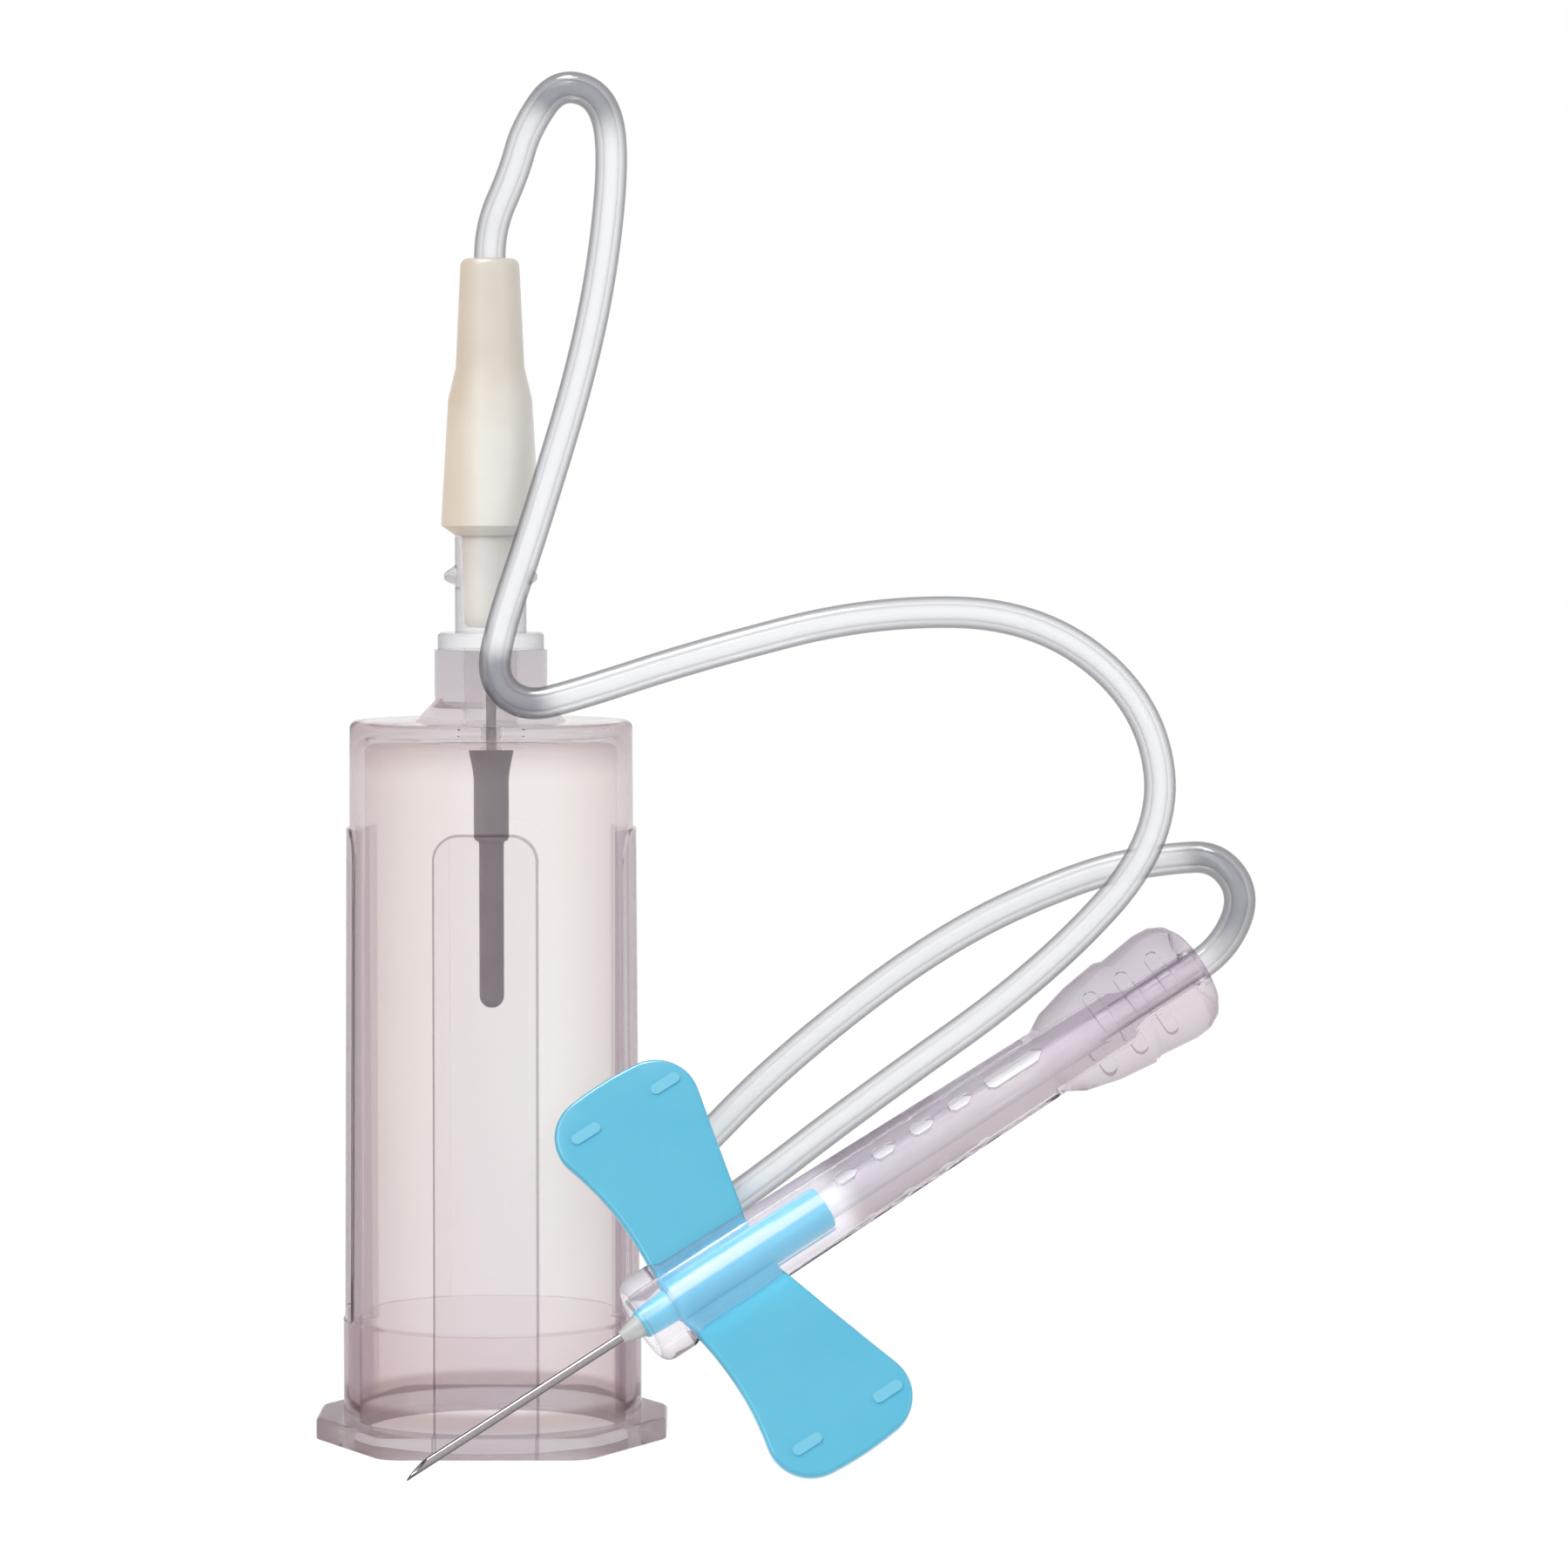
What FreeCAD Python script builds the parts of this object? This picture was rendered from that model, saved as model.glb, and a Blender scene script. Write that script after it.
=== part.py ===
import FreeCAD, Part
import math
import os

# Winged blood collection set with its tube holder, in millimetres.
# The origin is the middle of the holder's mouth on the table, +Z is up and the
# holder stands on its flange. The winged needle and its shield are drawn along
# their own axis (X from the needle's point to the rear, Y across the wings,
# Z out of the wings' front face) and then laid against the holder.

Vector = FreeCAD.Vector

# Tube holder
holder_height = 52.2
barrel_top_radius = 10.3
barrel_foot_radius = 10.62
holder_wall = 1.1
top_wall = 1.15
shoulder_round = 0.5
ceiling_round = 1.1
mouth_radius = 9.75
mouth_depth = 8.7
mouth_lead = 0.5
foot_collar_radius = 10.9
panel_count = 4
panel_width = 7.4
panel_top = 44.4
panel_corner = 1.9
panel_proud = 0.22
flange_apothem = 12.6
flange_trim = 12.75
flange_thickness = 1.55
flange_corner = 2.2
flange_edge_round = 0.35
boss_radius = 4.1
boss_height = 5.2
boss_flare_radius = 5.5
boss_flare_height = 1.5
ceiling_boss_radius = 2.3
ceiling_boss_drop = 0.6

# Cone adapter that is screwed into the holder's boss
stub_radius = 1.9
stub_depth = 5.7
nipple_radius = 0.7
nipple_length = 1.2
collar_radius = 3.87
collar_height = 1.2
neck_radius = 2.6
neck_length = 7.0
socket_mouth_radius = 2.12
socket_depth = 6.6
cone_taper = 0.03
lug_height = 0.8
lug_width = 1.0
lug_start = 120.0
lug_lead = 5.0
lug_sweep = 80.0
lug_rise_start = 3.0
lug_count = 2

# Rear cannula and its rubber sleeve
cannula_radius = 0.36
cannula_bore = 0.22
cannula_top_depth = 1.0
cannula_reach = 18.1
cannula_bevel = 25.0
sleeve_length = 19.2
sleeve_head_radius = 1.62
sleeve_body_radius = 1.28
sleeve_head_length = 7.0
sleeve_thin_radius = 0.9
sleeve_bore = 0.45
sleeve_tip_wall = 0.9
sleeve_shoulder_radius = 1.38
sleeve_shoulder_drop = 1.6
sleeve_neck_drop = 2.6
sleeve_step_round = 0.3
sleeve_seat_depth = 3.24

# Ivory tubing connector
connector_radius = 3.6
connector_length = 20.1
connector_chamfer = 0.75
connector_foot_radius = 2.55
connector_waist_radius = 3.05
connector_waist_height = 9.9
connector_stem_radius = 2.5
connector_stem_start = 12.2
connector_stem_top_radius = 2.15
connector_top_round = 0.6
plug_lumen = 1.25
plug_break = 0.3
lumen_step_start = 5.0
lumen_step_end = 3.0
tube_socket_depth = 8.0

# Flexible tubing
tube_diameter = 2.3
tube_bore = 1.2

# Winged needle, along its own axis from the needle's point
needle_radius = 0.32
needle_bore = 0.2
needle_length = 27.0
needle_bevel = 17.0
needle_bevel_roll = 220.0
nose_start = 18.1
nose_length = 1.6
nose_tip_radius = 0.42
nose_radius = 0.9
spigot_start = 26.0
spigot_length = 4.0
wing_tube_start = 22.3
wing_tube_end = 35.3
wing_tube_radius = 1.65
wing_tube_step = 0.25
front_collar_radius = 1.12
wing_root_start = 22.3
wing_root_end = 30.1
wing_span = 33.4
wing_thickness = 0.95
wing_edge_round = 0.3
wing_corner = 3.2
wing_front_corner = 20.9
wing_front_waist = 22.8
wing_rear_corner = 33.9
wing_rear_waist = 31.4
wing_side_bow = 0.9
wing_front_waist_share = 0.45
wing_rear_waist_share = 0.42
mark_length = 2.3
mark_width = 0.8
mark_height = 0.15
mark_rear = 31.2
mark_front = 24.4
mark_inset = 2.7
mark_sink = 0.1

# Safety shield that slides forward over the needle
shield_start = 19.75
shield_bore = 2.0
shield_radius = 2.9
shield_rear_radius = 2.5
shield_front_radius = 3.3
shield_front_round = 0.9
shield_front_fall = 1.0
slide_travel = 23.7
slot_spare = 0.4
window_count = 4
window_first = 37.6
window_pitch = 3.28
window_length = 2.0
window_width = 0.9
window_offset = 0.35
window_blunt = 0.35
window_point = 0.7
long_window_length = 4.9
long_window_width = 1.15
long_window_gap = 1.2
notch_radius = 0.85
grip_start = 54.9
grip_length = 12.8
grip_radius = 4.35
grip_flat = 3.2
rib_count = 3
rib_start = 4.4
rib_pitch = 2.7
rib_width = 1.1
rib_height = 0.35
rib_sink = 0.3
rear_hole_radius = 1.4
core_end = 61.0
core_lead = 1.5

# The grip's outline as shares of its length and of its largest radius
grip_outline = [
    (0.10, 0.74), (0.30, 0.89), (0.52, 0.97), (0.57, 0.92),
    (0.80, 1.0), (0.89, 0.98), (0.96, 0.88), (1.0, 0.72),
]

# Small bevels on moulded edges
edge_break = 0.2
fine_break = 0.1

# Clearances
bond_gap = 0.02
seat_gap = 0.05
slot_gap = 0.18

# How the winged needle lies: the middle of its upper wing's tip leans on the
# barrel at this angle about the holder's axis and this far out from the
# barrel's foot, and the lower wing's front corner, square before it is rounded,
# would be this far below the table
lean_angle = -46.0
lean_gap = 1.17
corner_sink = 1.28
lay_turn = -0.55
lean_back = 27.4
axis_rise = 34.5

# Derived heights of the holder's top, bottom to top
boss_top = holder_height + boss_height
ceiling = holder_height - top_wall
seat_face = ceiling - ceiling_boss_drop
collar_bottom = boss_top + bond_gap
collar_top = collar_bottom + collar_height
neck_top = collar_top + neck_length
stub_bottom = boss_top - stub_depth
connector_bottom = neck_top + seat_gap
connector_top = connector_bottom + connector_length
tube_radius = tube_diameter / 2
tube_socket_radius = tube_radius + bond_gap
sleeve_top = seat_face - seat_gap
spigot_end = spigot_start + spigot_length
slot_end = wing_root_end + slide_travel + slot_spare

# The tubing's route from the connector's socket over the holder's shoulder,
# round behind the wings and into the shield's rear, before its straight end
route = [
    (0.0, 0.0, 88.0),
    (1.8, -0.8, 91.9),
    (2.7, -1.2, 95.1),
    (5.1, -2.0, 98.45),
    (8.6, -2.6, 97.15),
    (9.1, -3.0, 91.4),
    (7.5, -3.2, 80.1),
    (3.4, -4.2, 66.4),
    (0.7, -5.8, 58.4),
    (0.5, -6.6, 55.2),
    (2.8, -6.9, 53.45),
    (6.3, -7.0, 54.3),
    (15.4, -5.0, 57.2),
    (27.6, -4.0, 60.3),
    (39.6, -4.0, 60.1),
    (47.8, -5.0, 53.6),
    (48.9, -6.0, 44.0),
    (40.2, -5.3, 34.2),
    (26.7, -6.8, 24.8),
    (17.9, -9.0, 18.2),
    (12.9, -8.6, 15.2),
    (10.7, -5.0, 17.2),
    (14.0, -0.5, 19.9),
    (21.4, 0.5, 27.4),
    (33.1, 0.5, 36.4),
    (43.6, -0.5, 41.2),
    (49.5, -1.9, 42.3),
    (52.8, -3.4, 42.5),
    (54.7, -4.8, 39.7),
]
route_turn_in = 2.7


def revolved(profile, axis=Vector(0, 0, 1)):
    """Solid of revolution about an axis through the origin.

    The profile lists (radius, height) corners, and a triple (radius, height,
    "via") is the middle point of an arc to the corner after it."""
    across = Vector(1, 0, 0) if axis.z else Vector(0, 1, 0)
    spots = []
    for corner in profile:
        spots.append((across * corner[0] + axis * corner[1], len(corner) == 3))
    edges = []
    index = 0
    while index < len(spots) - 1:
        start = spots[index][0]
        if spots[index + 1][1]:
            edges.append(Part.Arc(start, spots[index + 1][0], spots[index + 2][0]).toShape())
            index += 2
        else:
            edges.append(Part.LineSegment(start, spots[index + 1][0]).toShape())
            index += 1
    if spots[-1][0].distanceToPoint(spots[0][0]) > 1e-6:
        edges.append(Part.LineSegment(spots[-1][0], spots[0][0]).toShape())
    face = Part.Face(Part.Wire(edges))
    solid = face.revolve(Vector(0, 0, 0), axis, 360)
    if solid.Volume < 0:
        solid.reverse()
    return solid


def quarter_arc(centre_r, centre_h, radius, start_deg, end_deg):
    """Middle and end points of an arc in a profile, angles from +radius."""
    middle = math.radians((start_deg + end_deg) / 2)
    end = math.radians(end_deg)
    return [
        (centre_r + radius * math.cos(middle), centre_h + radius * math.sin(middle), "via"),
        (centre_r + radius * math.cos(end), centre_h + radius * math.sin(end)),
    ]


def barrel_radius_at(height):
    """Outer radius of the drafted barrel between its panels."""
    share = height / holder_height
    return barrel_foot_radius + (barrel_top_radius - barrel_foot_radius) * share


def rounded_box(width, length, depth, corner):
    """Box centred on X and Y, from Z 0 up, with its four upright edges rounded."""
    box = Part.makeBox(width, length, depth, Vector(-width / 2, -length / 2, 0))
    upright = [edge for edge in box.Edges if abs(edge.tangentAt(edge.FirstParameter).z) > 0.99]
    return box.makeFillet(corner, upright)


def holder_panel():
    """One raised panel on the barrel's front, with a rounded top."""
    ring = revolved([
        (barrel_radius_at(0) - holder_wall / 2, 0),
        (barrel_radius_at(0) + panel_proud, 0),
        (barrel_radius_at(holder_height) + panel_proud, holder_height),
        (barrel_radius_at(holder_height) - holder_wall / 2, holder_height),
    ])
    foot = flange_thickness / 2
    plate = rounded_box(panel_width, 2 * (panel_top - foot), 2 * foot_collar_radius, panel_corner)
    plate.rotate(Vector(0, 0, 0), Vector(1, 0, 0), 90)
    plate.translate(Vector(0, 0, foot))
    above = Part.makeBox(
        panel_width, 2 * foot_collar_radius, panel_top,
        Vector(-panel_width / 2, -2 * foot_collar_radius, foot),
    )
    return ring.common(plate).common(above)


def holder_flange():
    """Six-sided flange, flat at the front and back and trimmed at the sides."""
    corners = []
    reach = flange_apothem / math.cos(math.radians(30))
    for index in range(7):
        angle = math.radians(60 * index)
        corners.append(Vector(reach * math.cos(angle), reach * math.sin(angle), 0))
    plate = Part.Face(Part.makePolygon(corners)).extrude(Vector(0, 0, flange_thickness))
    trim = Part.makeBox(
        2 * flange_trim, 2 * reach, flange_thickness, Vector(-flange_trim, -reach, 0)
    )
    plate = plate.common(trim)
    upright = [edge for edge in plate.Edges if abs(edge.tangentAt(edge.FirstParameter).z) > 0.99]
    plate = plate.makeFillet(flange_corner, upright)
    top_rim = [edge for edge in plate.Edges if edge.BoundBox.ZMin > flange_thickness - 0.01]
    return plate.makeFillet(flange_edge_round, top_rim)


def tube_holder():
    """Open-bottomed barrel with flange, panels, mouth and threaded boss."""
    top = holder_height
    outside = revolved(
        [(0, 0), (foot_collar_radius, 0), (foot_collar_radius, mouth_depth - panel_proud)]
        + [(barrel_radius_at(mouth_depth), mouth_depth)]
        + [(barrel_top_radius, top - shoulder_round)]
        + quarter_arc(barrel_top_radius - shoulder_round, top - shoulder_round, shoulder_round, 0, 90)
        + [(boss_flare_radius, top), (boss_radius, top + boss_flare_height)]
        + [(boss_radius, boss_top), (0, boss_top)]
    )
    bore_foot = barrel_radius_at(mouth_depth) - holder_wall
    bore_top = barrel_top_radius - holder_wall
    inside = revolved(
        [(0, -1), (mouth_radius, -1), (mouth_radius, mouth_depth)]
        + [(bore_foot, mouth_depth + mouth_lead), (bore_top, ceiling - ceiling_round)]
        + quarter_arc(bore_top - ceiling_round, ceiling - ceiling_round, ceiling_round, 0, 90)
        + [(ceiling_boss_radius, ceiling), (ceiling_boss_radius, seat_face), (0, seat_face)]
    )
    body = outside.fuse(holder_flange())
    panel = holder_panel()
    for index in range(panel_count):
        turned = panel.copy()
        turned.rotate(Vector(0, 0, 0), Vector(0, 0, 1), 360 * index / panel_count)
        body = body.fuse(turned)
    body = body.cut(inside)
    stub_hole = Part.makeCylinder(
        stub_radius + bond_gap, boss_top, Vector(0, 0, stub_bottom - bond_gap)
    )
    nipple_hole = Part.makeCylinder(nipple_radius + bond_gap, boss_top, Vector(0, 0, seat_face - 1))
    return body.cut(stub_hole).cut(nipple_hole).removeSplitter()


def thread_lug(turn):
    """One short helical lug with a three-cornered section on the neck."""
    rise = lug_lead * lug_sweep / 360
    helix = Part.makeHelix(lug_lead, rise, neck_radius)
    root = neck_radius - lug_height / 4
    tip = neck_radius + lug_height
    section = Part.makePolygon([
        Vector(root, 0, 0),
        Vector(tip, 0, lug_width * 0.1),
        Vector(tip, 0, lug_width * 0.3),
        Vector(root, 0, lug_width),
        Vector(root, 0, 0),
    ])
    lug = Part.Wire(helix).makePipeShell([section], True, True)
    lug.translate(Vector(0, 0, collar_top + lug_rise_start))
    lug.rotate(Vector(0, 0, 0), Vector(0, 0, 1), turn)
    return lug


def cone_adapter():
    """Clear adapter: stub in the boss, collar, and neck with a conical socket."""
    nipple_bottom = seat_face - nipple_length
    socket_floor = neck_top - socket_depth
    body = revolved([
        (0, nipple_bottom), (nipple_radius, nipple_bottom), (nipple_radius, stub_bottom),
        (stub_radius, stub_bottom), (stub_radius, collar_bottom),
        (collar_radius, collar_bottom), (collar_radius, collar_top - edge_break),
        (collar_radius - edge_break, collar_top), (neck_radius, collar_top),
        (neck_radius, neck_top), (0, neck_top),
    ])
    lug_turns = 360 / lug_count
    for index in range(lug_count):
        body = body.fuse(thread_lug(lug_start + lug_turns * index))
    socket = revolved([
        (0, socket_floor), (socket_mouth_radius - cone_taper * socket_depth, socket_floor),
        (socket_mouth_radius, neck_top), (socket_mouth_radius, neck_top + 1), (0, neck_top + 1),
    ])
    needle_way = Part.makeCylinder(
        cannula_radius + bond_gap, neck_top, Vector(0, 0, nipple_bottom - 1)
    )
    return body.cut(socket).cut(needle_way)


def hollow_needle(radius, bore, length, bevel, roll):
    """Steel tube from the origin along +Z whose point at Z 0 is ground off."""
    tube = Part.makeCylinder(radius, length)
    tube = tube.cut(Part.makeCylinder(bore, length + 2, Vector(0, 0, -1)))
    ground = Part.makeBox(8 * radius, 8 * radius, 40 * radius, Vector(-4 * radius, -8 * radius, -20 * radius))
    ground.rotate(Vector(0, 0, 0), Vector(1, 0, 0), bevel)
    ground.translate(Vector(0, radius, 0))
    ground.rotate(Vector(0, 0, 0), Vector(0, 0, 1), roll)
    return tube.cut(ground)


def rear_cannula():
    """Steel cannula that pierces the tube's stopper, point down."""
    top = collar_top + cannula_top_depth
    bottom = seat_face - cannula_reach
    needle = hollow_needle(cannula_radius, cannula_bore, top - bottom, cannula_bevel, 0)
    needle.translate(Vector(0, 0, bottom))
    return needle


def rubber_sleeve():
    """Closed rubber sleeve round the cannula, thick at its head."""
    top = sleeve_top
    step = top - sleeve_head_length
    tip = top - sleeve_length
    outside = revolved(
        [(0, top), (sleeve_head_radius, top), (sleeve_shoulder_radius, top - sleeve_shoulder_drop)]
        + [(sleeve_body_radius, top - sleeve_neck_drop), (sleeve_body_radius, step + sleeve_step_round)]
        + quarter_arc(
            sleeve_body_radius - sleeve_step_round, step + sleeve_step_round, sleeve_step_round, 0, -90)
        + [(sleeve_thin_radius, step), (sleeve_thin_radius, tip + sleeve_thin_radius)]
        + quarter_arc(0, tip + sleeve_thin_radius, sleeve_thin_radius, 0, -90)
    )
    bore = Part.makeCylinder(sleeve_bore, sleeve_length, Vector(0, 0, tip + sleeve_tip_wall))
    seat = Part.makeCylinder(
        nipple_radius + bond_gap, 2 * sleeve_seat_depth, Vector(0, 0, top - sleeve_seat_depth)
    )
    slit = Part.makeCylinder(cannula_radius + bond_gap, sleeve_length, Vector(0, 0, tip - 1))
    return outside.cut(bore).cut(seat).cut(slit)


def tubing_connector():
    """Ivory connector: cone plug below, tapered body, tubing socket above."""
    foot = connector_bottom
    top = connector_top
    plug_end = neck_top - socket_depth + seat_gap
    plug_root = socket_mouth_radius - bond_gap
    plug_tip = plug_root - cone_taper * (neck_top - plug_end)
    body = revolved(
        [(0, plug_end), (plug_tip - plug_break / 2, plug_end), (plug_tip, plug_end + plug_break)]
        + [(plug_root, neck_top)]
        + [(plug_root, foot), (connector_foot_radius, foot)]
        + [(connector_radius, foot + connector_chamfer)]
        + [(connector_waist_radius, foot + connector_waist_height)]
        + [(connector_stem_radius, foot + connector_stem_start)]
        + [(connector_stem_top_radius, top - connector_top_round)]
        + quarter_arc(
            connector_stem_top_radius - connector_top_round, top - connector_top_round,
            connector_top_round, 0, 90)
        + [(0, top)]
    )
    socket_floor = top - tube_socket_depth
    way = revolved([
        (0, plug_end - 1), (plug_lumen, plug_end - 1), (plug_lumen, socket_floor - lumen_step_start),
        (tube_bore / 2, socket_floor - lumen_step_end), (tube_bore / 2, socket_floor),
        (tube_socket_radius, socket_floor), (tube_socket_radius, top + 1), (0, top + 1),
    ])
    return body.cut(way)


def laid():
    """Placement of the winged needle's own axes against the holder."""
    turn = FreeCAD.Rotation(Vector(0, 0, 1), lay_turn)
    lean = FreeCAD.Rotation(Vector(1, 0, 0), 90 - lean_back)
    rise = FreeCAD.Rotation(Vector(0, 0, 1), axis_rise)
    turned = turn * lean * rise
    wing_middle = (wing_front_corner + wing_rear_corner) / 2
    upper = turned.multVec(Vector(wing_middle, wing_span / 2, 0))
    lower = turned.multVec(Vector(wing_front_corner, -wing_span / 2, 0))
    reach = barrel_foot_radius + lean_gap
    angle = math.radians(lean_angle)
    point = Vector(
        reach * math.cos(angle) - upper.x, reach * math.sin(angle) - upper.y, -corner_sink - lower.z
    )
    print("needle point", point, "along", turned.multVec(Vector(1, 0, 0)))
    return FreeCAD.Placement(point, turned)


def wing_plate():
    """Both wings as one plate, waisted at the root and rounded at the tips."""
    half = wing_span / 2
    outer = half - wing_side_bow
    middle = (wing_front_corner + wing_rear_corner) / 2
    root = wing_tube_radius
    ring = []
    for side in (1, -1):
        front_root = Vector(wing_root_start, side * root, 0)
        front_tip = Vector(wing_front_corner, side * outer, 0)
        front_mid = Vector(wing_front_waist, side * outer * wing_front_waist_share, 0)
        rear_root = Vector(wing_root_end, side * root, 0)
        rear_tip = Vector(wing_rear_corner, side * outer, 0)
        rear_mid = Vector(wing_rear_waist, side * outer * wing_rear_waist_share, 0)
        ring.append(Part.Arc(front_root, front_mid, front_tip).toShape())
        ring.append(Part.Arc(front_tip, Vector(middle, side * half, 0), rear_tip).toShape())
        ring.append(Part.Arc(rear_tip, rear_mid, rear_root).toShape())
    for place in (wing_root_start, wing_root_end):
        ring.append(Part.LineSegment(Vector(place, root, 0), Vector(place, -root, 0)).toShape())
    outline = Part.Wire(Part.__sortEdges__(ring))
    plate = Part.Face(outline).extrude(Vector(0, 0, wing_thickness))
    plate.translate(Vector(0, 0, -wing_thickness / 2))
    tips = [
        edge for edge in plate.Edges
        if edge.BoundBox.ZLength > wing_thickness / 2 and abs(edge.CenterOfMass.y) > half / 2
    ]
    plate = plate.makeFillet(wing_corner, tips)
    rims = [
        edge for edge in plate.Edges
        if edge.BoundBox.ZLength < 0.01 and edge.BoundBox.YLength > 0.01
        and abs(edge.CenterOfMass.y) > root
    ]
    return plate.makeFillet(wing_edge_round, rims)


def wing_body():
    """Blue wings moulded in one with the tube that grips the needle's hub."""
    bore = nose_radius + bond_gap
    front = nose_start + nose_length + seat_gap
    sleeve = revolved([
        (0, front), (front_collar_radius - fine_break, front), (front_collar_radius, front + edge_break),
        (front_collar_radius + fine_break, wing_tube_start),
        (wing_tube_radius - wing_tube_step, wing_tube_start),
        (wing_tube_radius, wing_tube_start + wing_tube_step),
        (wing_tube_radius, wing_tube_end - edge_break),
        (wing_tube_radius - fine_break, wing_tube_end), (0, wing_tube_end),
    ], Vector(1, 0, 0))
    body = sleeve.fuse(wing_plate())
    for side in (1, -1):
        for place in (mark_front, mark_rear):
            mark = rounded_box(mark_length, mark_width, mark_height + mark_sink, mark_width * 0.45)
            mark.translate(Vector(place, side * (wing_span / 2 - mark_inset), wing_thickness / 2 - mark_sink))
            body = body.fuse(mark)
    hub_hole = Part.makeCylinder(bore, wing_tube_end, Vector(0, 0, 0), Vector(1, 0, 0))
    tube_hole = Part.makeCylinder(
        tube_socket_radius, wing_tube_end, Vector(spigot_start, 0, 0), Vector(1, 0, 0)
    )
    return body.cut(hub_hole).cut(tube_hole)


def needle_hub():
    """Rigid hub inside the wings, with the nose in front and a spigot behind."""
    nose_end = nose_start + nose_length
    spigot_radius = tube_bore / 2 - bond_gap
    shank_end = spigot_start - seat_gap
    body = revolved([
        (0, nose_start), (nose_tip_radius, nose_start), (nose_radius, nose_end),
        (nose_radius, shank_end), (spigot_radius, shank_end),
        (spigot_radius, spigot_end), (0, spigot_end),
    ], Vector(1, 0, 0))
    way = Part.makeCylinder(
        needle_radius + bond_gap, 2 * spigot_end, Vector(0, 0, 0), Vector(1, 0, 0)
    )
    return body.cut(way)


def patient_needle():
    """Steel vein needle with a long bevel, its point at the axis's start."""
    needle = hollow_needle(needle_radius, needle_bore, needle_length, needle_bevel, 0)
    needle.rotate(Vector(0, 0, 0), Vector(0, 1, 0), 90)
    needle.rotate(Vector(0, 0, 0), Vector(1, 0, 0), needle_bevel_roll)
    return needle


def window(place, length, width):
    """Through window, blunt in front and pointed behind, cut through the shield."""
    front = place - length / 2
    rear = place + length / 2
    half = width / 2
    outline = [
        (front, half / 2), (front + window_blunt * width, half), (rear - window_point * width, half),
        (rear, 0), (rear - window_point * width, -half), (front + window_blunt * width, -half),
        (front, -half / 2), (front, half / 2),
    ]
    corners = [Vector(along, window_offset + across, -2 * grip_radius) for along, across in outline]
    return Part.Face(Part.makePolygon(corners)).extrude(Vector(0, 0, 4 * grip_radius))


def safety_shield():
    """Clear slotted sleeve with windows, slot notches and a ribbed rear grip."""
    grip_end = grip_start + grip_length
    front = shield_start
    along = Vector(1, 0, 0)
    outside = revolved(
        [(0, front), (shield_front_radius - shield_front_round, front)]
        + quarter_arc(
            shield_front_radius - shield_front_round, front + shield_front_round,
            shield_front_round, -90, 0)
        + [(shield_front_radius, wing_root_start), (shield_radius, wing_root_start + shield_front_fall)]
        + [(shield_rear_radius, grip_start)]
        + [(grip_radius * wide, grip_start + grip_length * share) for share, wide in grip_outline]
        + [(0, grip_end)],
        along,
    )
    for side in (1, -1):
        pad_cut = Part.makeBox(
            grip_length, 4 * grip_radius, grip_radius,
            Vector(grip_start, -2 * grip_radius, grip_flat if side > 0 else -grip_flat - grip_radius),
        )
        outside = outside.cut(pad_cut)
        for index in range(rib_count):
            rib = rounded_box(rib_width, 0.8 * grip_radius, rib_height + rib_sink, rib_width * 0.45)
            rib.translate(Vector(grip_start + rib_start + rib_pitch * index, 0, grip_flat - rib_sink))
            if side < 0:
                rib.rotate(Vector(0, 0, 0), along, 180)
            outside = outside.fuse(rib)
    inside = revolved([
        (0, front - 1), (shield_bore, front - 1), (shield_bore, core_end),
        (rear_hole_radius, core_end + core_lead), (rear_hole_radius, grip_end + 1), (0, grip_end + 1),
    ], along)
    slot_width = wing_thickness + 2 * slot_gap
    slot_front = wing_root_start - slot_gap
    slot = rounded_box(slot_end - slot_front, slot_width, 4 * grip_radius, slot_width * 0.45)
    slot.translate(Vector((slot_end + slot_front) / 2, 0, -2 * grip_radius))
    slot.rotate(Vector(0, 0, 0), along, 90)
    body = outside.cut(inside).cut(slot)
    for index in range(window_count):
        place = window_first + window_pitch * index
        body = body.cut(window(place, window_length, window_width))
        notch = Part.makeCylinder(
            notch_radius, 4 * grip_radius, Vector(place, -2 * grip_radius, 0), Vector(0, 1, 0)
        )
        body = body.cut(notch)
    last_rear = window_first + window_pitch * (window_count - 1) + window_length / 2
    long_place = last_rear + long_window_gap + long_window_length / 2
    return body.cut(window(long_place, long_window_length, long_window_width))


def route_points():
    """All corners of the tubing's route, its straight end along the needle's axis."""
    place = laid()
    points = [Vector(0, 0, connector_top - tube_socket_depth + seat_gap)]
    points += [Vector(*spot) for spot in route]
    points.append(place.multVec(Vector(grip_start + grip_length + route_turn_in, 0, 0)))
    points.append(place.multVec(Vector(spigot_start + seat_gap, 0, 0)))
    return points


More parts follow.
